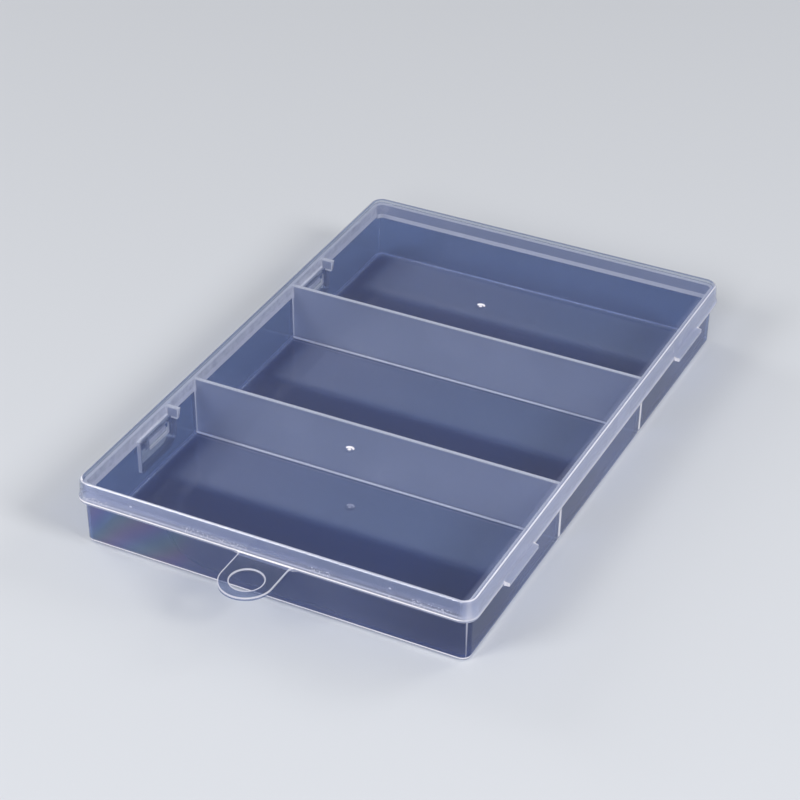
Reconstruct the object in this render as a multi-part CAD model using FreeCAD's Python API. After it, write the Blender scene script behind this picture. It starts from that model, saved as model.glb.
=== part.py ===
"""Compartment storage organizer: a clear moulded tray with three compartments and a clip-on hinged lid.

Millimetres, +Z up. X runs across the short side and Y along the long side. The origin is on the
table, under the middle of the tray. The hang tab points to -Y, the hinge is on the -X side and the
two thumb lips stand out on the +X side.
"""
import FreeCAD
import Part
import math
import os

Vector = FreeCAD.Vector

# Whole box, lid closed
closed_height = 20.7
lid_width = 119.0
lid_length = 180.0
lid_corner_radius = 4.0

# Lid shell
lid_top_thickness = 1.0
lid_edge_radius = 1.0
skirt_depth = 6.8
skirt_thickness = 0.8
skirt_draft_deg = 3.4
skirt_inner_radius = 0.5
bead_height = 2.0
bead_swell = 0.35
bead_radius = 0.8
bead_blend_radius = 1.5
skirt_lip_radius = 0.25
lid_edge_band = 2.4

# Room between lid and tray
side_gap = 0.3
rim_gap = 0.25

# Tray shell
tray_wall = 0.9
tray_floor = 1.0
tray_draft_deg = 1.0
foot_radius = 1.2
floor_radius = 0.7
tray_edge_band = 2.1

# Dividers moulded across the tray
compartments = 3
divider_thickness = 1.0
divider_draft_deg = 0.4
divider_foot_radius = 0.6

# Hinge niches in the tray's -X wall, both facing the same way
hinge_places = (-52.2, 41.1)
hinge_drop = 1.6
hinge_axis_inset = 0.2
niche_length = 17.2
niche_drop = 5.55
niche_rise = 3.4
niche_wall = 0.7
niche_corner_radius = 4.2
bulge_depth = 1.6
window_length = 10.8
window_below_axis = 0.9
window_above_axis = 2.9
window_corner_radius = 0.5
pin_radius = 0.7

# Web that stands on each niche and stiffens the rim
web_place = 6.95
web_thickness = 1.0
web_depth = 3.65
web_reach = 4.4
web_taper = 0.7

# Clips on the lid that snap over the tray's hinge pins
pin_clearance = 0.07
clip_wall = 0.65
clip_length = 10.5
clip_mouth_deg = 90.0
clip_root = 0.6

# Thumb lips on the lid's +X skirt and the catch ridges that they spring over
lip_places = (-61.6, 60.2)
lip_length = 19.0
lip_reach = 1.7
lip_thickness = 1.0
lip_lift = 0.1
lip_slope = 0.3
lip_corner_radius = 0.4
lip_root_radius = 1.2
catch_length = 14.0
catch_radius = 0.5
catch_proud = 0.35
catch_above_skirt = 0.8

# Hang tab on the lid's -Y skirt
tab_width = 15.4
tab_hole_offset = 10.4
tab_hole_radius = 4.65
tab_thickness = 0.9
tab_root_radius = 1.8

# Gate marks on the lid's end fields and on the floors under them
gate_place = 42.8
gate_radius = 1.35
gate_depth = 0.3
nub_radius = 0.55
nub_height = 0.2

# Detent pads on the tray's front wall, under the skirt
detent_places = (-41.5, 36.5)
detent_width = 2.0
detent_height = 3.0
detent_below_rim = 1.3
detent_proud = 0.2

# Length by which every cut runs past the face that it leaves
overrun = 2.0


def run(rise, draft_deg):
    """Sideways run of a drafted wall over a rise."""
    return rise * math.tan(math.radians(draft_deg))


# Levels and half sizes that the sub-parts share
lid_under = closed_height - lid_top_thickness
rim_height = lid_under - rim_gap
skirt_low = closed_height - skirt_depth
skirt_flare = run(skirt_depth, skirt_draft_deg)
tray_half_width = lid_width / 2 - skirt_thickness - side_gap
tray_half_length = lid_length / 2 - skirt_thickness - side_gap
tray_corner_radius = lid_corner_radius - skirt_thickness - side_gap
inner_half_width = tray_half_width - tray_wall
inner_half_length = tray_half_length - tray_wall
hinge_axis_x = -(tray_half_width - hinge_axis_inset)
hinge_axis_height = skirt_low - hinge_drop
clip_inner_radius = pin_radius + pin_clearance
clip_outer_radius = clip_inner_radius + clip_wall
bulge_x = -(inner_half_width - bulge_depth)
niche_back_x = bulge_x - niche_wall
niche_low = hinge_axis_height - niche_drop
niche_high = hinge_axis_height + niche_rise


def rounded_wire(corners):
    """Closed wire through corner points, given as (point, radius), each rounded by its own radius."""
    bends = []
    for index, (corner, radius) in enumerate(corners):
        back = (corners[index - 1][0] - corner).normalize()
        onward = (corners[(index + 1) % len(corners)][0] - corner).normalize()
        half_angle = back.getAngle(onward) / 2
        trim = radius / math.tan(half_angle)
        inward = (back + onward).normalize()
        middle = corner + inward * (radius / math.sin(half_angle) - radius)
        bends.append((corner + back * trim, middle, corner + onward * trim, radius))
    edges = []
    for index, (start, middle, end, radius) in enumerate(bends):
        following = bends[(index + 1) % len(bends)][0]
        if radius:
            edges.append(Part.Arc(start, middle, end).toShape())
        if not end.isEqual(following, Part.Precision.confusion()):
            edges.append(Part.LineSegment(end, following).toShape())
    return Part.Wire(edges)


def prism(corners, along):
    """Solid made by carrying a rounded outline straight along a vector."""
    return Part.Face(rounded_wire(corners)).extrude(along)


def box_outline(half_width, half_length, radius, level):
    """Rounded corners of a rectangle about the Z axis, from the -X -Y corner round."""
    signs = ((-1, -1), (1, -1), (1, 1), (-1, 1))
    return [(Vector(sx * half_width, sy * half_length, level), radius) for sx, sy in signs]


def edge_ring(half_width, half_length, radius, section):
    """Solid made by carrying a section round a rectangle with rounded corners.

    section holds (outward distance, level, radius) for each of its corners.
    """
    path = rounded_wire(box_outline(half_width, half_length, radius, section[0][1]))
    corners = [(Vector(0, -half_length - out, level), bend) for out, level, bend in section]
    return path.makePipeShell([rounded_wire(corners)], True, False)


def tray_shell():
    """Floor and drafted walls, with a rounded foot outside and a rounded floor edge inside."""
    foot_in = run(rim_height, tray_draft_deg)
    floor_in = run(rim_height - tray_floor, tray_draft_deg)
    walls = edge_ring(tray_half_width, tray_half_length, tray_corner_radius, [
        (0, rim_height, 0),
        (-foot_in, 0, foot_radius),
        (-tray_edge_band, 0, 0),
        (-tray_edge_band, tray_floor, 0),
        (-tray_wall - floor_in, tray_floor, floor_radius),
        (-tray_wall, rim_height, 0),
    ])
    half_width = tray_half_width - tray_edge_band
    half_length = tray_half_length - tray_edge_band
    outline = box_outline(half_width, half_length, tray_corner_radius - tray_edge_band, 0)
    return walls.fuse(prism(outline, Vector(0, 0, tray_floor)))


def divider(place):
    """Drafted wall across the tray, rounded into the floor and rooted in both long walls."""
    root_x = inner_half_width + tray_wall / 2
    top = divider_thickness / 2
    foot = top + run(rim_height - tray_floor, divider_draft_deg)
    spread = foot + divider_foot_radius * 2
    profile = []
    for y, z, radius in (
        (-spread, tray_floor / 2, 0),
        (-spread, tray_floor, 0),
        (-foot, tray_floor, divider_foot_radius),
        (-top, rim_height, 0),
        (top, rim_height, 0),
        (foot, tray_floor, divider_foot_radius),
        (spread, tray_floor, 0),
        (spread, tray_floor / 2, 0),
    ):
        profile.append((Vector(-root_x, place + y, z), radius))
    return prism(profile, Vector(root_x * 2, 0, 0))


def niche_block(place, margin, x_from, x_to):
    """Block of a hinge niche grown by a margin, with its rear lower corner rounded."""
    y_low = place - niche_length / 2 - margin
    y_high = place + niche_length / 2 + margin
    z_low = niche_low - margin
    z_high = niche_high + margin
    return prism([
        (Vector(x_from, y_low, z_low), 0),
        (Vector(x_from, y_high, z_low), niche_corner_radius + margin),
        (Vector(x_from, y_high, z_high), 0),
        (Vector(x_from, y_low, z_high), 0),
    ], Vector(x_to - x_from, 0, 0))


def hinge_bulge(place):
    """Wall that bulges into the compartment round a hinge niche, with the web between it and the rim."""
    root_x = -(tray_half_width - tray_wall / 2)
    tip_x = -inner_half_width + web_reach
    web_y = place + web_place - web_thickness / 2
    web_low = rim_height - web_depth
    web = prism([
        (Vector(root_x, web_y, web_low), 0),
        (Vector(tip_x - web_taper, web_y, web_low), 0),
        (Vector(tip_x, web_y, rim_height), 0),
        (Vector(root_x, web_y, rim_height), 0),
    ], Vector(0, web_thickness, 0))
    return niche_block(place, niche_wall, root_x, bulge_x).fuse(web)


def hinge_niche(place):
    """Hollow of a hinge niche, open to the outside, with the window behind its pin."""
    hollow = niche_block(place, 0, -(tray_half_width + overrun), niche_back_x)
    x_from = niche_back_x - overrun / 2
    y_low = place - window_length / 2
    z_low = hinge_axis_height - window_below_axis
    z_high = hinge_axis_height + window_above_axis
    y_high = y_low + window_length
    window = prism([
        (Vector(x_from, y_low, z_low), window_corner_radius),
        (Vector(x_from, y_high, z_low), window_corner_radius),
        (Vector(x_from, y_high, z_high), window_corner_radius),
        (Vector(x_from, y_low, z_high), window_corner_radius),
    ], Vector(bulge_x - x_from + overrun / 2, 0, 0))
    return hollow.fuse(window)


def round_bar(radius, length, x, y, z):
    """Round bar along Y, centred on a point."""
    return Part.makeCylinder(radius, length, Vector(x, y - length / 2, z), Vector(0, 1, 0))


def hinge_pin(place):
    """Round pin moulded across a niche, rooted in both its end walls."""
    return round_bar(pin_radius, niche_length + niche_wall, hinge_axis_x, place, hinge_axis_height)


def catch_ridge(place):
    """Low round ridge on the tray's +X wall that a thumb lip springs over."""
    level = skirt_low + catch_above_skirt
    wall_x = tray_half_width - run(rim_height - level, tray_draft_deg)
    return round_bar(catch_radius, catch_length, wall_x + catch_proud - catch_radius, place, level)


def detent_pad(place):
    """Flat pad on the tray's front wall that steadies the skirt."""
    z_high = rim_height - detent_below_rim
    wall_y = -(tray_half_length - run(rim_height - z_high, tray_draft_deg))
    corner = Vector(place - detent_width / 2, wall_y - detent_proud, z_high - detent_height)
    return Part.makeBox(detent_width, detent_proud + tray_wall / 2, detent_height, corner)


def gate_mark(place, level):
    """Round pit of a gate mark, sunk from a level, round its nub."""
    low = Vector(0, place, level - gate_depth)
    pit = Part.makeCylinder(gate_radius, gate_depth + overrun, low)
    return pit.cut(Part.makeCylinder(nub_radius, nub_height, low))


def make_tray():
    """Tray with its dividers, hinge niches and pins, catch ridges and detent pads."""
    tray = tray_shell()
    pitch = (inner_half_length * 2 + divider_thickness) / compartments
    for index in range(1, compartments):
        tray = tray.fuse(divider(-inner_half_length - divider_thickness / 2 + index * pitch))
    for place in hinge_places:
        tray = tray.fuse(hinge_bulge(place)).cut(hinge_niche(place)).fuse(hinge_pin(place))
    for place in lip_places:
        tray = tray.fuse(catch_ridge(place))
    for place in detent_places:
        tray = tray.fuse(detent_pad(place))
    for place in (-gate_place, gate_place):
        tray = tray.cut(gate_mark(place, tray_floor))
    return tray.removeSplitter()


def lid_shell():
    """Flat top with a rounded edge, and a flared skirt that ends in a round bead."""
    bead_mid = skirt_low + bead_height / 2
    bead_top = skirt_low + bead_height
    top_in = run(lid_top_thickness, skirt_draft_deg) - skirt_thickness
    skirt = edge_ring(lid_width / 2, lid_length / 2, lid_corner_radius, [
        (-lid_edge_band, closed_height, 0),
        (0, closed_height, lid_edge_radius),
        (run(closed_height - bead_top, skirt_draft_deg), bead_top, bead_blend_radius),
        (run(closed_height - bead_mid, skirt_draft_deg) + bead_swell, bead_mid, bead_radius),
        (skirt_flare, skirt_low, skirt_lip_radius),
        (skirt_flare - skirt_thickness, skirt_low, 0),
        (top_in, lid_under, skirt_inner_radius),
        (-lid_edge_band, lid_under, 0),
    ])
    half_width = lid_width / 2 - lid_edge_band
    half_length = lid_length / 2 - lid_edge_band
    outline = box_outline(half_width, half_length, lid_corner_radius - lid_edge_band, lid_under)
    return skirt.fuse(prism(outline, Vector(0, 0, lid_top_thickness)))


def tangent_point(centre, radius, start, side):
    """Point where a line from start touches a circle in the XZ plane, on the side given by +1 or -1."""
    away = start - centre
    angle = math.atan2(away.z, away.x) + side * math.acos(radius / away.Length)
    return centre + Vector(math.cos(angle), 0, math.sin(angle)) * radius


def hinge_clip(place):
    """Clip that hangs from the -X skirt and wraps round a hinge pin, with its mouth downwards."""
    y_low = place - clip_length / 2
    centre = Vector(hinge_axis_x, y_low, hinge_axis_height)
    root_out = -lid_width / 2 - skirt_flare
    root_in = root_out + skirt_thickness
    outer_root = Vector(root_out, y_low, skirt_low)
    inner_root = Vector(root_in, y_low, skirt_low)
    lift = Vector(0, 0, clip_root)
    arm = prism([
        (outer_root + lift, 0),
        (outer_root, 0),
        (tangent_point(centre, clip_outer_radius, outer_root, 1), 0),
        (centre, 0),
        (tangent_point(centre, clip_outer_radius, inner_root, -1), 0),
        (inner_root, 0),
        (inner_root + lift, 0),
    ], Vector(0, clip_length, 0))
    knuckle = round_bar(clip_outer_radius, clip_length, hinge_axis_x, place, hinge_axis_height)
    bore = round_bar(clip_inner_radius, clip_length + overrun, hinge_axis_x, place, hinge_axis_height)
    drop = clip_outer_radius + overrun
    spread = drop * math.tan(math.radians(clip_mouth_deg / 2))
    mouth = prism([
        (centre, 0),
        (centre + Vector(-spread, 0, -drop), 0),
        (centre + Vector(spread, 0, -drop), 0),
    ], Vector(0, clip_length, 0))
    return arm.fuse(knuckle).cut(bore).cut(mouth)


def tongue(half_width, reach, root_radius, tip_radius):
    """Plan of a tongue that stands out along +X from a skirt's face at x = 0, with flared roots."""
    root_y = half_width + root_radius
    half_plan = [
        (-skirt_thickness / 2, root_y, 0),
        (0, root_y, 0),
        (0, half_width, root_radius),
        (reach, half_width, tip_radius),
    ]
    corners = [(Vector(x, y, 0), radius) for x, y, radius in half_plan]
    corners += [(Vector(x, -y, 0), radius) for x, y, radius in reversed(half_plan)]
    return Part.Face(rounded_wire(corners))


def thumb_lip(place):
    """Lip that stands out from the +X skirt's bead, with a sloping top, small corners and flared roots."""
    face_x = lid_width / 2 + run(skirt_depth - lip_lift, skirt_draft_deg)
    plan = tongue(lip_length / 2, lip_reach, lip_root_radius, lip_corner_radius)
    block = plan.extrude(Vector(0, 0, skirt_depth))
    block.translate(Vector(face_x, place, skirt_low))
    low = skirt_low + lip_lift
    back_x = face_x - skirt_thickness
    tip_x = face_x + lip_reach
    y_low = place - lip_length
    section = prism([
        (Vector(back_x, y_low, low + lip_slope), 0),
        (Vector(tip_x, y_low, low), 0),
        (Vector(tip_x, y_low, low + lip_thickness), 0),
        (Vector(back_x, y_low, low + lip_thickness + lip_slope), 0),
    ], Vector(0, lip_length * 2, 0))
    return section.common(block)


def hang_tab():
    """Flat tab with a round end and a round hole, level with the lower edge of the -Y skirt."""
    half = tab_width / 2
    reach = tab_hole_offset - skirt_flare
    tab = tongue(half, reach + half, tab_root_radius, half).extrude(Vector(0, 0, tab_thickness))
    hole = Part.makeCylinder(tab_hole_radius, tab_thickness + overrun * 2, Vector(reach, 0, -overrun))
    tab = tab.cut(hole)
    tab.rotate(Vector(0, 0, 0), Vector(0, 0, 1), -90)
    tab.translate(Vector(0, -lid_length / 2 - skirt_flare, skirt_low))
    return tab


def make_lid():
    """Lid with its skirt, hinge clips, thumb lips, hang tab and gate marks."""
    lid = lid_shell()
    for place in hinge_places:
        lid = lid.fuse(hinge_clip(place))
    for place in lip_places:
        lid = lid.fuse(thumb_lip(place))
    lid = lid.fuse(hang_tab())
    for place in (-gate_place, gate_place):
        lid = lid.cut(gate_mark(place, closed_height))
    return lid.removeSplitter()


def main():
    """Builds each sub-part and writes it to its own STEP file."""
    os.makedirs("parts", exist_ok=True)
    for name, make in {"tray": make_tray, "lid": make_lid}.items():
        shape = make()
        print(name, "solids", len(shape.Solids), "valid", shape.isValid(), "volume", round(shape.Volume, 1))
        shape.exportStep("parts/" + name + ".step")


main()
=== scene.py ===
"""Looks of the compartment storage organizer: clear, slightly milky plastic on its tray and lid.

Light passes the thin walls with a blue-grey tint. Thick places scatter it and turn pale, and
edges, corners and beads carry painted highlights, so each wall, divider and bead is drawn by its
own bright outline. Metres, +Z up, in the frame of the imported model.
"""

import logging
import math
from dataclasses import dataclass
from enum import Enum
from functools import reduce
from typing import Any, Callable, Mapping, Optional, Union

import bpy
import numpy as np
from mathutils import Matrix, Vector


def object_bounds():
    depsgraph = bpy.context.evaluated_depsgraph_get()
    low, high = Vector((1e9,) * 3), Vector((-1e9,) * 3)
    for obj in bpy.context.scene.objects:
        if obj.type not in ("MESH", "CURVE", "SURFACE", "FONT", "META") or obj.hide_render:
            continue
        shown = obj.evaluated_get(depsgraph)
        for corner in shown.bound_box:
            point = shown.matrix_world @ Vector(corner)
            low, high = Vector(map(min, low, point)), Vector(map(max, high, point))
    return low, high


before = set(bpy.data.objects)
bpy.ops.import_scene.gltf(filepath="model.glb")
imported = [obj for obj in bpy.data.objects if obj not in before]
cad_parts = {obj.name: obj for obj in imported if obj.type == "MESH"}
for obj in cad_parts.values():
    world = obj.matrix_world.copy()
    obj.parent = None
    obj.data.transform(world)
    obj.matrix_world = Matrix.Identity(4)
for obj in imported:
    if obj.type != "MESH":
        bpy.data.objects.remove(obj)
cad_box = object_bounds()

log = logging.getLogger("organizer")

Colour = tuple[float, float, float, float]
Operand = Union["Signal", float]
Step = tuple[float, float]  # Ends of a soft step, from 0 to 1, or of a stretch.
Band = tuple[float, float, float]  # Middle, half width and fade of a soft band.


def paint(red: int, green: int, blue: int) -> Colour:
    """Linear colour of a screen colour.

    Args:
        red: Screen red, 0 to 255.
        green: Screen green, 0 to 255.
        blue: Screen blue, 0 to 255.

    Returns:
        The same colour in linear light, with full alpha.
    """
    screen = np.array([red, green, blue]) / 255
    linear = np.where(screen <= 0.04045, screen / 12.92, ((screen + 0.055) / 1.055) ** 2.4)
    return (*(float(part) for part in linear), 1.0)


class Signal:
    """A value that changes over a surface: one output socket, whose arithmetic adds Math nodes."""

    def __init__(self, graph: "Graph", socket: bpy.types.NodeSocket) -> None:
        """Keeps the socket and the graph that new nodes go into."""
        self.graph = graph
        self.socket = socket

    def _math(self, operation: str, *values: Operand) -> "Signal":
        """One Math node on the values."""
        return self.graph.node("ShaderNodeMath", {"operation": operation}, dict(enumerate(values)))

    def __add__(self, other: Operand) -> "Signal":
        """Sum."""
        return self._math("ADD", self, other)

    __radd__ = __add__

    def __sub__(self, other: Operand) -> "Signal":
        """Difference."""
        return self._math("SUBTRACT", self, other)

    def __rsub__(self, other: Operand) -> "Signal":
        """Difference from a plain number."""
        return self._math("SUBTRACT", other, self)

    def __mul__(self, other: Operand) -> "Signal":
        """Product."""
        return self._math("MULTIPLY", self, other)

    __rmul__ = __mul__

    def __abs__(self) -> "Signal":
        """Size without sign."""
        return self._math("ABSOLUTE", self)

    def __pow__(self, power: float) -> "Signal":
        """Power."""
        return self._math("POWER", self, power)

    def sine(self) -> "Signal":
        """Sine of an angle."""
        return self._math("SINE", self)

    def at_least(self, other: Operand) -> "Signal":
        """The larger of two values."""
        return self._math("MAXIMUM", self, other)

    def at_most(self, other: Operand) -> "Signal":
        """The smaller of two values."""
        return self._math("MINIMUM", self, other)

    def rise(self, low: float, high: float) -> "Signal":
        """A soft step.

        Args:
            low: Where the step starts, at 0.
            high: Where it ends, at 1. Below low, the step falls instead.

        Returns:
            The step, smooth at both ends.
        """
        ends = {"Value": self, "From Min": low, "From Max": high}
        return self.graph.node("ShaderNodeMapRange", {"interpolation_type": "SMOOTHSTEP"}, ends)

    def near(self, centre: float, half: float, soft: float) -> "Signal":
        """A soft band about a value.

        Args:
            centre: Middle of the band.
            half: Half of its width at full strength.
            soft: Width of the fade on each side.

        Returns:
            1 in the band, falling to 0 beside it.
        """
        return abs(self - centre).rise(half + soft, half)

    def rise_from(self, origin: float, step: Step) -> "Signal":
        """A soft step whose ends are counted from a place."""
        return self.rise(origin + step[0], origin + step[1])

    def near_from(self, origin: float, band: Band) -> "Signal":
        """A soft band whose middle is counted from a place."""
        return self.near(origin + band[0], band[1], band[2])


class Graph:
    """A material's node tree, filled by one method."""

    def __init__(self, name: str) -> None:
        """Starts an empty material."""
        self.material = bpy.data.materials.new(name)
        self.material.use_nodes = True
        self.tree = self.material.node_tree
        self.tree.nodes.clear()

    def node(
        self,
        kind: str,
        settings: Optional[Mapping[str, Any]] = None,
        inputs: Optional[Mapping[Union[str, int], Any]] = None,
        output: Union[str, int] = 0,
    ) -> Signal:
        """Adds a node.

        Args:
            kind: The node's type.
            settings: Its own settings, set before its sockets.
            inputs: A value or a link for each named or numbered socket.
            output: The socket that is handed back.

        Returns:
            The chosen output.
        """
        made = self.tree.nodes.new(kind)
        for key, value in (settings or {}).items():
            setattr(made, key, value)
        for key, value in (inputs or {}).items():
            if isinstance(value, Signal):
                self.tree.links.new(value.socket, made.inputs[key])
            else:
                made.inputs[key].default_value = value
        return Signal(self, made.outputs[output])

    def blend(self, factor: Operand, low: Any, high: Any) -> Signal:
        """Mix of two colours by a factor."""
        return self.node("ShaderNodeMix", {"data_type": "RGBA"}, {0: factor, 6: low, 7: high}, 2)

    def mix(self, factor: Operand, first: Signal, second: Signal) -> Signal:
        """Mix of two shaders by a factor."""
        return self.node("ShaderNodeMixShader", None, {0: factor, 1: first, 2: second})

    def speckle(self, scale: float, detail: float) -> Signal:
        """Noise on the object's own coordinates.

        Args:
            scale: Cells to the metre.
            detail: Finer layers on top.

        Returns:
            The noise, about 0.5.
        """
        where = self.node("ShaderNodeTexCoord", output="Object")
        return self.node("ShaderNodeTexNoise", None, {"Vector": where, "Scale": scale, "Detail": detail})

    def finish(self, shader: Signal) -> bpy.types.Material:
        """Sends a shader to the material's surface and hands the material back."""
        ends = self.tree.nodes.new("ShaderNodeOutputMaterial")
        self.tree.links.new(shader.socket, ends.inputs["Surface"])
        return self.material


@dataclass(frozen=True)
class Sides:
    """Distances beyond the sides of a box seen from above, below 0 inside it."""

    left: Signal
    right: Signal
    front: Signal
    rear: Signal


@dataclass(frozen=True)
class Spot:
    """The shaded point's place on the object, in metres."""

    x: Signal
    y: Signal
    z: Signal

    @classmethod
    def on(cls, graph: Graph) -> "Spot":
        """Object coordinates of the point that a graph shades."""
        where = graph.node("ShaderNodeTexCoord", output="Object")
        parts = graph.node("ShaderNodeSeparateXYZ", None, {0: where})
        return cls(*(Signal(graph, socket) for socket in parts.socket.node.outputs))

    def outline(self, half_width: float, half_length: float, radius: float) -> Signal:
        """Distance from a rectangle with rounded corners, seen from above.

        Beside a corner it is the distance to the corner's arc, and elsewhere the distance to the
        nearer side.

        Args:
            half_width: Half of the rectangle across X.
            half_length: Half of the rectangle along Y.
            radius: Radius of its corners.

        Returns:
            The distance, below 0 inside.
        """
        over_x = abs(self.x) - (half_width - radius)
        over_y = abs(self.y) - (half_length - radius)
        corner = (over_x.at_least(0.0) ** 2 + over_y.at_least(0.0) ** 2) ** 0.5
        return corner + over_x.at_least(over_y).at_most(0.0) - radius

    def sides(self, half_width: float, half_length: float) -> Sides:
        """Distances beyond the sides of a box about the origin."""
        return Sides(
            left=-half_width - self.x,
            right=self.x - half_width,
            front=-half_length - self.y,
            rear=self.y - half_length,
        )

    def post(self, half_width: float, half_length: float, radius: float) -> Signal:
        """How far a point lies into a corner's arc, along X or Y, whichever is less."""
        return (abs(self.x) - (half_width - radius)).at_most(abs(self.y) - (half_length - radius))

    def ring(self, x: float, y: float) -> Signal:
        """Distance from an upright axis through a point."""
        return ((self.x - x) ** 2 + (self.y - y) ** 2) ** 0.5

    def pit(self, y: float, radius: float, soft: float) -> Signal:
        """Painted highlights of a gate mark on the middle line: the far half of its rim and a dot in its
        middle.

        Args:
            y: Its place along Y.
            radius: Its radius.
            soft: Width of the fade beside its rim.

        Returns:
            1 on the painted highlights, falling to 0 beside them.
        """
        reach = self.ring(0.0, y)
        rim = reach.near(radius - soft, soft, soft) * self.y.rise(y, y + radius / 2)
        return rim.at_least(reach.rise(radius / 3 + soft, radius / 3))

    def grain(self, scale: float, detail: float) -> Signal:
        """Noise at this spot, with cells to the metre and finer layers on top."""
        return self.x.graph.speckle(scale, detail)

    def within(self, soft: float, **spans: tuple[float, float]) -> Signal:
        """A soft box.

        Args:
            soft: Width of the fade outside each face.
            **spans: Lower and upper end along x, y or z; an axis left out is open.

        Returns:
            1 inside the box, falling to 0 beside it.
        """
        bands = [getattr(self, axis).near((low + high) / 2, (high - low) / 2, soft)
                 for axis, (low, high) in spans.items()]
        return reduce(Signal.__mul__, bands)


def either(*masks: Signal) -> Signal:
    """Any of several masks: the largest value."""
    return reduce(Signal.at_least, masks)


@dataclass(frozen=True)
class Looks:
    """Masks of a moulding, each 0 to 1.

    They tell milky places, painted highlights and other painted light, places tinted deeper (some
    of them painted shade), places with colour fringes and places with a warm flush.
    """

    haze: Signal
    # Painted light: highlights on edges, beads and marks, drawn whiter than the plastic.
    painted_light: Signal
    deep: Signal
    fringe: Optional[Signal] = None
    warm: Operand = 0.0


@dataclass(frozen=True)
class ClearPlastic:
    """Clear plastic with a little milk in it.

    Each surface lets light through with a tint and scatters a share of it, half back and half
    through. The share grows at glancing angles, where the path through the wall is longer, in milky
    places and at the painted highlights. A thin gloss lies on top.
    """

    tint: Colour
    deep_tint: Colour
    body: Colour = paint(150, 161, 203)
    milk: Colour = paint(203, 208, 229)
    # Colour of the painted highlights and other painted light.
    edge: Colour = paint(246, 243, 248)
    flush: Colour = paint(196, 184, 212)
    lit_through: Colour = paint(218, 224, 242)
    through_share: float = 0.5
    body_share: float = 0.035
    glancing_share: float = 0.22
    haze_share: float = 0.72
    painted_light_share: float = 0.92
    mist_scale: float = 26.0
    mist_detail: float = 2.0
    mist_spread: float = 0.45
    flush_step: Step = (0.05, 0.20)
    flush_share: float = 0.25
    roughness: float = 0.26
    roughness_spread: float = 0.12
    gloss_roughness: float = 0.10
    gloss_share: float = 0.04
    facing_blend: float = 0.5
    glancing_power: float = 3.0
    mirror_power: float = 5.0
    ior: float = 1.49
    fringe_turns: float = 420.0
    fringe_slant: float = 0.8
    fringe_wave: float = 9.0
    ripple_scale: float = 60.0
    ripple_detail: float = 3.0
    ripple_height: float = 0.0002
    ripple_strength: float = 0.25

    def fringes(self, graph: Graph) -> Signal:
        """Colour fringes of strained plastic.

        Each primary follows a sine of one slanted, wavy angle, a third of a turn apart.

        Args:
            graph: The graph that the fringes go into.

        Returns:
            The colour.
        """
        spot = Spot.on(graph)
        wave = graph.speckle(self.mist_scale, 0.0) * self.fringe_wave
        angle = (spot.x - spot.z * self.fringe_slant) * self.fringe_turns + wave
        primaries = ("Red", "Green", "Blue")
        third = math.tau / len(primaries)
        waves = {name: (angle + step * third).sine() * 0.5 + 0.5 for step, name in enumerate(primaries)}
        return graph.node("ShaderNodeCombineColor", None, waves)

    def make(self, name: str, looks: Callable[[Spot], Looks]) -> bpy.types.Material:
        """Builds the finish for one moulding.

        Args:
            name: Name of the material.
            looks: Gives the moulding's masks.

        Returns:
            The material.
        """
        graph = Graph(name)
        masks = looks(Spot.on(graph))
        mist = graph.speckle(self.mist_scale, self.mist_detail) - 0.5
        ripple = graph.speckle(self.ripple_scale, self.ripple_detail)
        haze = masks.haze * (1.0 + mist * self.mist_spread)
        facing = graph.node("ShaderNodeLayerWeight", None, {"Blend": self.facing_blend}, "Facing")
        flushed = (mist.rise(*self.flush_step) * self.flush_share).at_least(masks.warm)
        tinted = graph.blend(flushed, self.body, self.flush)
        if masks.fringe is not None:
            tinted = graph.blend(masks.fringe, tinted, self.fringes(graph))
        solid = graph.node("ShaderNodeBsdfPrincipled", None, {
            "Base Color": graph.blend(masks.painted_light, graph.blend(haze, tinted, self.milk), self.edge),
            "Roughness": self.roughness + (ripple - 0.5) * self.roughness_spread,
            "IOR": self.ior,
            "Normal": graph.node("ShaderNodeBump", None, {
                "Strength": self.ripple_strength, "Distance": self.ripple_height, "Height": ripple,
            }),
        })
        lit = graph.node("ShaderNodeBsdfTranslucent", None, {"Color": self.lit_through})
        milky = graph.mix((1.0 - masks.painted_light) * self.through_share, solid, lit)
        thin, thick = (graph.node("ShaderNodeBsdfTransparent", None, {"Color": tint})
                       for tint in (self.tint, self.deep_tint))
        share = either(
            (facing ** self.glancing_power) * self.glancing_share + self.body_share,
            haze * self.haze_share,
            masks.painted_light * self.painted_light_share,
        )
        inside = graph.mix(share, graph.mix(masks.deep, thin, thick), milky)
        gloss = graph.node("ShaderNodeBsdfAnisotropic", None, {"Roughness": self.gloss_roughness})
        mirror = (facing ** self.mirror_power) * (1.0 - self.gloss_share) + self.gloss_share
        return graph.finish(graph.mix(mirror, inside, gloss))


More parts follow.
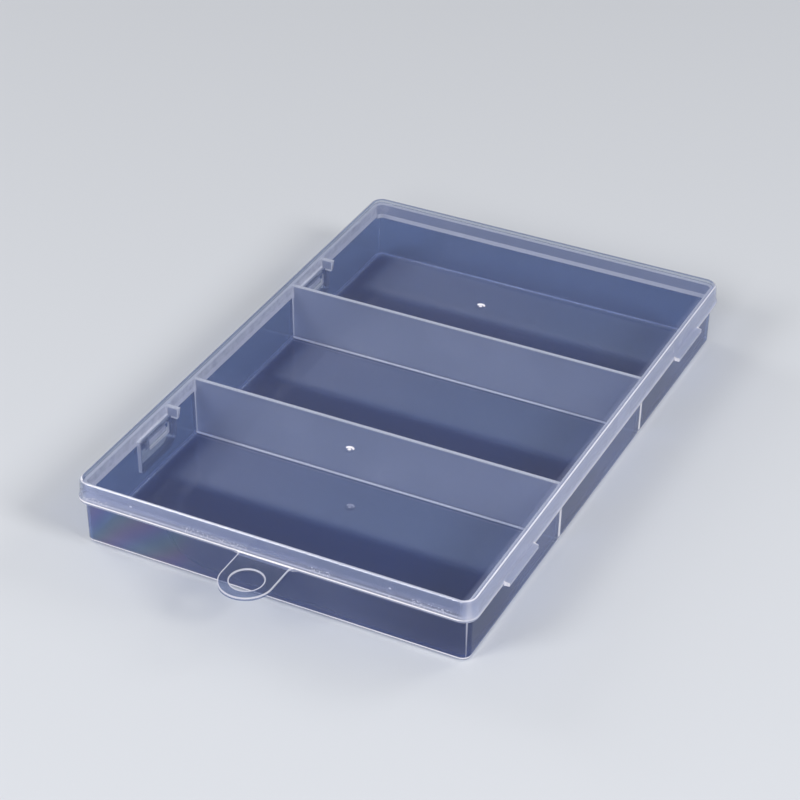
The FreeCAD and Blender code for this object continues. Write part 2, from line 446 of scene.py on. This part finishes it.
@dataclass(frozen=True)
class Lid:
    """The upper moulding: a flat top, a flared skirt with a bead, thumb lips and the hang tab.

    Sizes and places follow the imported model. Steps and bands tell where a look starts and ends, and
    shares how strong it is.
    """

    half_width: float = 0.0595
    half_length: float = 0.0900
    corner_radius: float = 0.0040
    top: float = 0.0207
    skirt_low: float = 0.0139
    crest: float = 0.0149
    lip_root: float = 0.0589
    lip_places: tuple[float, float] = (-0.0616, 0.0602)
    lip_half: float = 0.0095
    lip_high: float = 0.0153
    tab_half_width: float = 0.0077
    tab_hole_y: float = -0.1004
    tab_hole_radius: float = 0.00465
    tab_root: float = -0.0909
    tab_middle: float = 0.01435
    detent_places: tuple[float, float] = (-0.0415, 0.0365)
    detent_levels: tuple[float, float] = (0.0153, 0.0179)
    detent_along: Step = (-0.0915, -0.0900)
    detent_half_width: float = 0.0003
    gate_places: tuple[float, float] = (-0.0428, 0.0428)
    gate_radius: float = 0.00135
    fade: float = 0.0002
    hair: float = 0.0001

    skin_step: Step = (-0.0015, -0.0010)
    shoulder_step: Step = (0.0, -0.0008)
    right_step: Step = (-0.0040, -0.0012)
    far_step: Step = (-0.0026, -0.0020)
    light_falloff_step: Step = (-0.0550, 0.0350)
    milk_step: Step = (0.0197, 0.0149)
    clip_step: Step = (-0.0002, -0.0006)
    high_step: Step = (-0.0009, -0.0007)
    gate_step: Step = (-0.0008, -0.0006)
    border_step: Step = (-0.0034, -0.0026)
    post_step: Step = (0.0020, 0.0028)
    outline_step: Step = (-0.0005, -0.0002)
    ridge_highlight_band: Band = (-0.00030, 0.00007, 0.00025)
    far_ridge_highlight_band: Band = (-0.00045, 0.00025, 0.00015)
    groove_band: Band = (-0.00115, 0.00035, 0.00020)
    crest_highlight_band: Band = (0.0, 0.00015, 0.0002)
    bead_shade_band: Band = (-0.0005, 0.0001, 0.0002)
    hem_highlight_band: Band = (0.00005, 0.00005, 0.00015)
    sparkle_band: Band = (0.0011, 0.0007, 0.0005)
    lip_end_band: Band = (0.0, 0.00025, 0.00015)
    brow_step: Step = (0.0024, 0.0)
    brow_foot_step: Step = (-0.0003, 0.0)

    speck_scale: float = 2400.0
    speck_step: Step = (0.56, 0.66)
    patch_scale: float = 90.0
    patch_step: Step = (0.45, 0.55)

    milk_base: float = 0.38
    milk_rise: float = 0.24
    milk_light_falloff: float = 0.20
    milk_right_light: float = 0.36
    milk_far: float = 0.24
    ridge_light_falloff: float = 0.25
    bead_dimmer: float = 0.35
    bead_shade_share: float = 0.5
    ridge_highlight_share: float = 0.8
    hem_highlight_share: float = 0.7
    outline_highlight_share: float = 0.8
    lip_highlight_share: float = 0.9
    detent_highlight_share: float = 0.6
    clip_painted_light: float = 0.6
    clip_haze: float = 0.8
    corner_highlight_share: float = 0.3
    brow_share: float = 0.42
    sparkle_share: float = 0.6
    tab_haze: float = 0.15
    border_painted_light: float = 0.35
    skirt_depth: float = 0.25
    tab_shade_depth: float = 0.8

    def tab_outline_highlight(self, spot: Spot) -> Signal:
        """Mask of painted highlights along the tab's outer edge and the edge of its hole, on its upper face.
        """
        near, far = self.outline_step
        hole = spot.ring(0.0, self.tab_hole_y)
        tip = hole * spot.y.rise_from(self.tab_hole_y, (self.hair, -self.hair))
        rim = abs(spot.x).at_least(tip).rise_from(self.tab_half_width, (near, far))
        eye = hole.rise_from(self.tab_hole_radius, (-near, -far))
        return either(rim, eye) * spot.z.rise_from(self.tab_middle, (-self.hair, self.fade))

    def lips(self, spot: Spot) -> tuple[Signal, Signal]:
        """Masks of the thumb lips.

        Args:
            spot: The shaded point.

        Returns:
            The skirt's stretches above the lips, and painted highlights on the lips' ends from the skirt to
            the tips.
        """
        beyond = spot.x.rise_from(self.lip_root, (-self.fade, 0.0))
        level = spot.z.rise_from(self.lip_high, (self.fade, 0.0))
        along = [abs(spot.y - place) for place in self.lip_places]
        spans = [from_middle.rise_from(self.lip_half, (0.0, -self.fade)) for from_middle in along]
        ends = [from_middle.near_from(self.lip_half, self.lip_end_band) for from_middle in along]
        return either(*spans) * beyond, either(*ends) * beyond * level

    def detent_highlights(self, spot: Spot) -> Signal:
        """Mask of short painted highlights on the front skirt, where the top and bottom edges of the tray's
        detent pads show through it.
        """
        marks = [
            spot.within(
                self.fade,
                x=(x - self.detent_half_width, x + self.detent_half_width),
                y=self.detent_along,
                z=(z - self.fade, z + self.fade),
            )
            for x in self.detent_places for z in self.detent_levels
        ]
        return either(*marks)

    def brow_and_glints(self, spot: Spot) -> Signal:
        """Mask of painted light on the skirt: a paler brow above the bead, with specks of painted glints."""
        # Painted glints: sparse bright specks along the bead's crest.
        glint_specks = spot.grain(self.speck_scale, 0.0).rise(*self.speck_step)
        glint_specks = glint_specks * spot.grain(self.patch_scale, 0.0).rise(*self.patch_step)
        brow = spot.z.rise_from(self.crest, self.brow_step)
        brow = brow * spot.z.rise_from(self.crest, self.brow_foot_step)
        sparkle = glint_specks * spot.z.near_from(self.crest, self.sparkle_band)
        return either(brow * self.brow_share, sparkle * self.sparkle_share)

    def looks(self, spot: Spot) -> Looks:
        """Masks of the lid: a milky skirt with painted highlights on its edges, and painted highlights on the
        lips and round the tab.
        """
        edge = spot.outline(self.half_width, self.half_length, self.corner_radius)
        sides = spot.sides(self.half_width, self.half_length)
        right = sides.right.rise(*self.right_step)
        far = either(sides.left.rise(*self.far_step), sides.rear.rise(*self.far_step))
        # Painted light: the skirt's milk and the top edge's highlight fade from the left towards the right,
        # and the right side's skirt is painted paler.
        light_falloff = spot.x.rise(*self.light_falloff_step) * (1.0 - right)
        on_tab = spot.y.rise_from(self.tab_root, (0.0, -self.fade))
        skirt = edge.rise(*self.skin_step) * (1.0 - on_tab) * spot.z.rise_from(self.top, self.shoulder_step)
        high = spot.z.rise_from(self.top, self.high_step)
        # Below the skirt's lower edge the clips are milky and also painted brighter: painted light.
        clips = spot.z.rise_from(self.skirt_low, self.clip_step)
        lip_spans, lip_end_highlights = self.lips(spot)
        milky = spot.z.rise(*self.milk_step) * self.milk_rise + self.milk_base
        milky = milky - light_falloff * self.milk_light_falloff + right * self.milk_right_light - far * self.milk_far
        # Painted highlight along the top edge's fillet, wider on the left and rear sides.
        ridge_highlight = edge.near(*self.ridge_highlight_band) * (1.0 - light_falloff * self.ridge_light_falloff)
        ridge_highlight = either(ridge_highlight, edge.near(*self.far_ridge_highlight_band) * far) * high
        # Painted shade: a deeper tint just inside the top edge, on the left and rear sides only.
        groove_shade = edge.near(*self.groove_band) * far * high
        # Painted light: a paler band inside the top edge, on the right side only.
        border = edge.rise(*self.border_step) * right * high
        between_lips = 1.0 - lip_spans
        # Painted highlight on the bead's crest, and painted shade just below it, where the skirt's milk is
        # thinned.
        bead_highlight = spot.z.near_from(self.crest, self.crest_highlight_band) * between_lips * (1.0 - right * self.bead_dimmer)
        bead_shade = spot.z.near_from(self.crest, self.bead_shade_band) * between_lips
        # Painted highlight along the skirt's lower edge.
        hem_highlight = spot.z.near_from(self.skirt_low, self.hem_highlight_band)
        # Painted highlight down the skirt's rounded corners.
        post = spot.post(self.half_width, self.half_length, self.corner_radius).rise(*self.post_step)
        brow_glints = self.brow_and_glints(spot) * (1.0 - right) * (1.0 - far)
        # Painted highlights on the gate marks of the top.
        gate_highlight = either(*(spot.pit(y, self.gate_radius, self.fade) for y in self.gate_places))
        painted_light = either(
            ridge_highlight * self.ridge_highlight_share,
            either(bead_highlight, hem_highlight * self.hem_highlight_share, brow_glints, post * self.corner_highlight_share) * skirt,
            on_tab * self.tab_outline_highlight(spot) * self.outline_highlight_share,
            lip_end_highlights * self.lip_highlight_share,
            gate_highlight * spot.z.rise_from(self.top, self.gate_step),
            self.detent_highlights(spot) * self.detent_highlight_share,
            clips * self.clip_painted_light,
        )
        haze = either(
            skirt * milky * (1.0 - bead_shade * self.bead_shade_share),
            on_tab * self.tab_haze,
            clips * self.clip_haze,
            border * self.border_painted_light,
        )
        # The tab's deep tint is painted shade.
        return Looks(haze, painted_light, either(skirt * self.skirt_depth, on_tab * self.tab_shade_depth, groove_shade))


@dataclass(frozen=True)
class Niche:
    """One hinge niche in the tray's left wall, with its window and the web beside it.

    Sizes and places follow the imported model.
    """

    place: float
    inner: float
    rim: float
    half: float = 0.0086
    wall: float = 0.0007
    low: float = 0.00605
    high: float = 0.0164
    bulge: float = -0.0559
    web_place: float = 0.00695
    web_half: float = 0.0005
    web_low: float = 0.0158
    web_tip: float = -0.0531
    window_half: float = 0.0054
    window_low: float = 0.0114
    window_high: float = 0.0152
    fade: float = 0.0002
    hair: float = 0.0001
    far_lap: float = 0.0003
    end_gap: float = 0.0005

    tip_step: Step = (-0.0009, -0.0006)
    low_step: Step = (0.0008, 0.0005)
    rim_step: Step = (-0.0006, -0.0004)

    plate_haze: float = 0.12
    far_haze: float = 0.45
    end_highlight_share: float = 0.9
    pane_highlight_share: float = 0.8

    def web(self, spot: Spot) -> tuple[Signal, Signal]:
        """Masks of the web and of the painted highlight on its outline."""
        middle = self.place + self.web_place
        body = spot.within(
            self.hair,
            x=(self.inner + self.hair, self.web_tip + self.hair),
            y=(middle - self.web_half, middle + self.web_half),
            z=(self.web_low - self.hair, self.rim),
        )
        border = either(
            spot.x.rise_from(self.web_tip, self.tip_step),
            spot.z.rise_from(self.web_low, self.low_step),
            spot.z.rise_from(self.rim, self.rim_step),
        )
        return body, body * border

    def masks(self, spot: Spot) -> tuple[Signal, Signal]:
        """Masks of the niche.

        Args:
            spot: The shaded point.

        Returns:
            The milky plate round the window with its web, and painted highlights on the niche's front
            end wall, the web's outline and the window's frame.
        """
        reach = self.half + self.wall
        level = (self.low, self.high)
        plate = spot.within(
            self.fade,
            x=(self.bulge - self.wall, self.bulge + self.hair),
            y=(self.place - reach, self.place + reach),
            z=level,
        )
        end = spot.within(
            self.hair,
            x=(self.inner + self.hair, self.bulge - self.end_gap),
            y=(self.place - reach - self.hair, self.place - self.half),
            z=(self.low - self.hair, self.high + self.hair),
        )
        far_end = spot.within(
            self.fade,
            x=(self.inner + self.far_lap, self.bulge + self.hair),
            y=(self.place + self.half - self.far_lap, self.place + reach + self.hair),
            z=level,
        )
        pane = spot.within(
            self.hair,
            x=(self.bulge - self.wall + self.hair, self.bulge - self.hair),
            y=(self.place - self.window_half - self.hair, self.place + self.window_half + self.hair),
            z=(self.window_low - self.hair, self.window_high + self.hair),
        )
        web, web_border = self.web(spot)
        haze = either(plate * self.plate_haze, far_end * self.far_haze, web)
        return haze, either(end * self.end_highlight_share, web_border, pane * self.pane_highlight_share)


@dataclass(frozen=True)
class Tray:
    """The lower moulding: floor, walls, dividers and hinge niches.

    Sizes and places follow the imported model. Steps and bands tell where a look starts and ends, and
    shares how strong it is.
    """

    half_width: float = 0.0584
    half_length: float = 0.0889
    corner_radius: float = 0.0029
    rim: float = 0.01945
    draft: float = math.tan(math.radians(1.0))
    floor: float = 0.0010
    wall: float = 0.0009
    band_low: float = 0.0153
    divider_y: float = 0.0295
    divider_half: float = 0.0005
    hinge_places: tuple[float, float] = (-0.0522, 0.0411)
    gate_places: tuple[float, float] = (-0.0428, 0.0428)
    gate_radius: float = 0.00135
    fade: float = 0.0002

    wall_step: Step = (-0.0018, -0.0014)
    outer_step: Step = (-0.0006, -0.0003)
    front_step: Step = (-0.0020, -0.0016)
    side_step: Step = (-0.0030, -0.0012)
    rear_step: Step = (-0.0039, -0.0019)
    brow_step: Step = (-0.0029, -0.0019)
    brow_span: Step = (-0.0550, 0.0200)
    lift_step: Step = (-0.0084, -0.0024)
    standing_step: Step = (0.0, 0.0010)
    divider_step: Step = (0.0008, 0.0003)
    rim_step: Step = (-0.0004, -0.0002)
    low_step: Step = (0.0009, 0.0004)
    lower_step: Step = (0.0018, 0.0009)
    stile_step: Step = (-0.0007, -0.0004)
    stile_width: Step = (0.0009, 0.0006)
    stile_taper: Step = (0.0, 0.0100)
    stile_slim: float = 0.0002
    foot_step: Step = (-0.0009, -0.0006)
    post_step: Step = (0.0015, 0.00205)
    corner_step: Step = (0.0006, 0.0002)
    left_step: Step = (0.0300, -0.0500)
    sill_band: Band = (-0.0001, 0.0006, 0.0004)
    seam_band: Band = (0.0004, 0.0002, 0.0002)
    foot_band: Band = (0.00080, 0.00020, 0.00025)
    corner_band: Band = (-0.0017, 0.0002, 0.0002)
    cove_band: Band = (-0.0014, 0.0004, 0.0003)
    cove_level: Band = (0.0004, 0.0004, 0.0004)
    reflection_band: Band = (-0.0115, 0.0085, 0.0060)
    reflection_start: Step = (-0.0024, -0.0104)

    fringe_across: Step = (-0.0540, -0.0300)
    fringe_level: Step = (0.0030, 0.0110)
    fringe_fade: float = 0.0080
    streak_scale: float = 420.0
    streak_detail: float = 2.0

    front_veil: float = 0.27
    front_left: Step = (0.0100, -0.0550)
    front_left_veil: float = 0.12
    front_right: Step = (0.0150, 0.0500)
    front_right_veil: float = 0.10
    front_low: Step = (0.0070, 0.0010)
    front_low_veil: float = 0.06
    right_veil: float = 0.14
    right_far: Step = (-0.0800, -0.0400)
    right_far_veil: float = 0.10
    back_veil: float = 0.24
    brow_dimmer: float = 0.35
    rear_dimmer: float = 0.35
    streak_base: float = 0.36
    streak_spread: float = 0.5
    band_light_low: float = 0.40
    band_light_left: float = 0.35
    divider_haze: float = 0.9
    cove_haze: float = 0.25
    sheen_base: float = 0.13
    sheen_left: float = 0.24
    seam_share: float = 0.8
    corner_highlight_share: float = 0.8
    corner_share: float = 0.1
    gate_highlight_share: float = 0.7
    fringe_share: float = 0.25

    def veil(self, spot: Spot, sides: Sides, front: Signal, right: Signal, outer: Signal) -> Signal:
        """Milk in the outer walls.

        Args:
            spot: The shaded point.
            sides: Its distances beyond the tray's sides.
            front: Mask of the front wall.
            right: Mask of the right wall.
            outer: Mask of the walls' outer faces.

        Returns:
            The share of milk: most at the front's left end, and on the left and rear walls outside only.
        """
        ahead = spot.x.rise(*self.front_left) * self.front_left_veil
        ahead = ahead - spot.x.rise(*self.front_right) * self.front_right_veil + self.front_veil
        ahead = ahead + spot.z.rise(*self.front_low) * self.front_low_veil
        beside = spot.y.rise(*self.right_far) * self.right_far_veil + self.right_veil
        back = outer * either(sides.left.rise(*self.side_step), sides.rear.rise(*self.side_step))
        return either(front * ahead, right * beside, back * self.back_veil)

    def pale_floor(self, spot: Spot, sides: Sides) -> Signal:
        """Mask of painted reflections on the floor: paler stretches before each divider and before the rear
        wall, fading out near the left wall.
        """
        ends = (-self.divider_y, self.divider_y, self.half_length)
        stretches = either(*(spot.y.near_from(end, self.reflection_band) for end in ends))
        return stretches * sides.left.rise(*self.reflection_start)

    def painted_highlights(self, spot: Spot, edge: Signal, low: Signal) -> Signal:
        """Mask of painted highlights along the edges: rim, foot, corners, and the dividers' seams and ends.
        """
        across = abs(abs(spot.y) - self.divider_y)
        slim = spot.x.rise(*self.stile_taper) * self.stile_slim
        standing = spot.z.rise_from(self.floor, self.standing_step)
        stile = abs(spot.x).rise_from(self.half_width - self.wall, self.stile_step)
        stile = stile * (across + slim).rise(*self.stile_width) * standing
        seam = low * across.near_from(self.divider_half, self.seam_band)
        foot = spot.z.near(*self.foot_band) * edge.rise(*self.foot_step)
        # Painted highlight down the tray's rounded corners.
        post = spot.post(self.half_width, self.half_length, self.corner_radius).rise(*self.post_step)
        corner = spot.z.rise_from(self.floor, self.corner_step) * edge.near(*self.corner_band)
        # Painted highlights on the rim, the dividers' seams and ends, the foot, the corners and the floor's
        # edge.
        return either(
            spot.z.rise_from(self.rim, self.rim_step),
            seam * self.seam_share,
            stile,
            foot,
            post * self.corner_highlight_share,
            corner * self.corner_share,
        )

    def looks(self, spot: Spot) -> Looks:
        """Masks of the tray: milky dividers and upper walls, with painted highlights on rims, corners and
        foot, and painted reflections on the floor.
        """
        edge = spot.outline(self.half_width, self.half_length, self.corner_radius)
        sides = spot.sides(self.half_width, self.half_length)
        wall = edge.rise(*self.wall_step)
        front = wall * sides.front.rise(*self.front_step)
        right = wall * sides.right.rise(*self.side_step)
        rear = sides.rear.rise(*self.rear_step)
        outer = (edge + (self.rim - spot.z) * self.draft).rise(*self.outer_step)
        low = spot.z.rise_from(self.floor, self.low_step)
        across = abs(abs(spot.y) - self.divider_y)
        divider = across.rise_from(self.divider_half, self.divider_step)
        divider = divider * spot.z.rise_from(self.floor, self.standing_step)
        brow = sides.front.rise(*self.brow_step) * spot.x.rise(*self.brow_span) * self.brow_dimmer
        band = wall * spot.z.rise_from(self.band_low, (-self.fade, 0.0))
        band = band * (1.0 - brow) * (1.0 - rear * self.rear_dimmer)
        # Painted light on the walls' pale band: brighter in its lower part except on the rear wall, brighter
        # on the left wall, with a random grain.
        lower = spot.z.rise_from(self.band_low, self.lower_step) * (1.0 - rear)
        band_light = spot.grain(self.streak_scale, self.streak_detail) * self.streak_spread + self.streak_base
        band_light = band_light + lower * self.band_light_low + sides.left.rise(*self.lift_step) * self.band_light_left
        # Painted highlight along the rear band's lower edge, where the skirt's bead shows through the rear
        # wall.
        sill_highlight = wall * spot.z.near_from(self.band_low, self.sill_band) * rear
        cove = edge.near(*self.cove_band) * spot.z.near_from(self.floor, self.cove_level)
        # Painted reflections of the dividers and the rear wall: paler, milkier stretches of floor before
        # them, stronger towards the left, where the floor's deep tint is left out.
        reflection = self.pale_floor(spot, sides)
        left = spot.x.rise(*self.left_step)
        sheen = low * reflection * (left * self.sheen_left + self.sheen_base)
        fringe = front * spot.within(self.fringe_fade, x=self.fringe_across, z=self.fringe_level)
        # Painted highlights on the gate marks of the floor.
        gate_highlight = either(*(spot.pit(y, self.gate_radius, self.fade) for y in self.gate_places)) * low
        niches = [Niche(place, self.wall - self.half_width, self.rim) for place in self.hinge_places]
        plates, frames = zip(*(niche.masks(spot) for niche in niches))
        return Looks(
            haze=either(
                divider * self.divider_haze,
                band,
                self.veil(spot, sides, front, right, outer),
                sheen,
                cove * self.cove_haze,
                *plates,
            ),
            painted_light=either(self.painted_highlights(spot, edge, low), band * band_light, sill_highlight, gate_highlight * self.gate_highlight_share, *frames),
            deep=either(wall * (1.0 - band), low * (1.0 - reflection)),
            fringe=fringe * self.fringe_share,
            warm=either(left * low, cove),
        )


@dataclass(frozen=True)
class Softbox:
    """A square, white, soft light that looks at a point."""

    name: str
    place: tuple[float, float, float]
    side: float
    watts: float
    aim: tuple[float, float, float] = (0.0, 0.0, 0.0)

    def hang(self) -> bpy.types.Object:
        """Puts the light in the scene and hands it back."""
        lamp = bpy.data.lights.new(self.name, "AREA")
        lamp.size = self.side
        lamp.energy = self.watts
        holder = bpy.data.objects.new(self.name, lamp)
        holder.location = self.place
        towards = Vector(self.aim) - Vector(self.place)
        holder.rotation_euler = towards.to_track_quat("-Z", "Y").to_euler()
        bpy.context.scene.collection.objects.link(holder)
        return holder


@dataclass(frozen=True)
class Studio:
    """A pale floor under soft light."""

    floor_half: float = 6.0
    floor_gap: float = 0.0001
    floor_colour: Colour = paint(205, 208, 214)
    floor_roughness: float = 0.55
    sky: Colour = (1.0, 1.0, 1.0, 1.0)
    sky_strength: float = 0.30
    softboxes: tuple[Softbox, ...] = (
        Softbox("key", (-0.55, -0.95, 0.75), side=0.45, watts=7.0),
        Softbox("front", (0.25, -1.25, 0.75), side=0.45, watts=7.0),
        Softbox("left", (-1.10, 0.35, 0.55), side=0.45, watts=3.0),
        Softbox("back", (0.75, 1.00, 0.80), side=0.50, watts=4.0),
        Softbox("right", (1.10, -0.20, 0.80), side=0.40, watts=9.0),
    )

    def lay_floor(self) -> bpy.types.Object:
        """Lays the floor just under the tray and hands it back."""
        level = cad_box[0].z - self.floor_gap
        corners = np.array([(-1, -1), (1, -1), (1, 1), (-1, 1)]) * self.floor_half
        points = np.column_stack([corners, np.full(len(corners), level)])
        mesh = bpy.data.meshes.new("floor")
        mesh.from_pydata(points.tolist(), [], [list(range(len(points)))])
        floor = bpy.data.objects.new("floor", mesh)
        bpy.context.scene.collection.objects.link(floor)
        graph = Graph("pale_floor")
        sheen = graph.node("ShaderNodeBsdfPrincipled", None, {
            "Base Color": self.floor_colour, "Roughness": self.floor_roughness,
        })
        mesh.materials.append(graph.finish(sheen))
        return floor

    def light(self) -> None:
        """Sets the world's even light and hangs the softboxes."""
        world = bpy.data.worlds.new("studio")
        world.use_nodes = True
        sky = world.node_tree.nodes["Background"].inputs
        sky["Color"].default_value = self.sky
        sky["Strength"].default_value = self.sky_strength
        bpy.context.scene.world = world
        for box in self.softboxes:
            box.hang()
            log.info("hung the %s softbox", box.name)


@dataclass(frozen=True)
class PhotoCamera:
    """The photograph's viewpoint, round the middle of the tray's underside."""

    azimuth_deg: float = 26.378
    elevation_deg: float = 33.498
    roll_deg: float = 0.452
    distance: float = 0.706473
    slide_right: float = -0.005077
    slide_up: float = 0.009759
    focal_px: float = 2401.07
    image_px: float = 800.0
    sensor_mm: float = 36.0

    def place(self) -> bpy.types.Object:
        """Sets the scene's camera and hands it back."""
        turn, lift, roll = (math.radians(a) for a in (self.azimuth_deg, self.elevation_deg, self.roll_deg))
        back = Vector((math.sin(turn) * math.cos(lift), -math.cos(turn) * math.cos(lift), math.sin(lift)))
        right = Vector((math.cos(turn), math.sin(turn), 0.0))
        up = back.cross(right)
        across = right * math.cos(roll) + up * math.sin(roll)
        upright = up * math.cos(roll) - right * math.sin(roll)
        eye = back * self.distance + across * self.slide_right + upright * self.slide_up
        lens = bpy.data.cameras.new("photo")
        lens.sensor_width = self.sensor_mm
        lens.lens = self.sensor_mm * self.focal_px / self.image_px
        holder = bpy.data.objects.new("photo", lens)
        holder.matrix_world = Matrix((across, upright, back)).transposed().to_4x4()
        holder.location = eye
        bpy.context.scene.collection.objects.link(holder)
        bpy.context.scene.camera = holder
        return holder


class Node(Enum):
    """The mouldings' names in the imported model."""

    TRAY = "tray"
    LID = "lid"


def dress(node: Node, material: bpy.types.Material) -> None:
    """Gives a moulding its finish.

    Args:
        node: The moulding.
        material: The finish for all its surfaces.
    """
    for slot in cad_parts[node.value].material_slots:
        slot.material = material
    log.info("dressed %s in %s", node.value, material.name)


def main() -> None:
    """Dresses the mouldings and sets the stage."""
    logging.basicConfig(level=logging.INFO, format="%(name)s: %(message)s")
    bpy.context.scene.view_settings.view_transform = "Standard"
    tray = ClearPlastic(tint=(0.72, 0.77, 0.87, 1.0), deep_tint=(0.385, 0.485, 0.70, 1.0))
    lid = ClearPlastic(tint=(0.90, 0.92, 0.955, 1.0), deep_tint=(0.50, 0.56, 0.70, 1.0))
    dress(Node.TRAY, tray.make("clear_tray", Tray().looks))
    dress(Node.LID, lid.make("clear_lid", Lid().looks))
    studio = Studio()
    studio.lay_floor()
    studio.light()
    PhotoCamera().place()


if __name__ == "__main__":
    main()
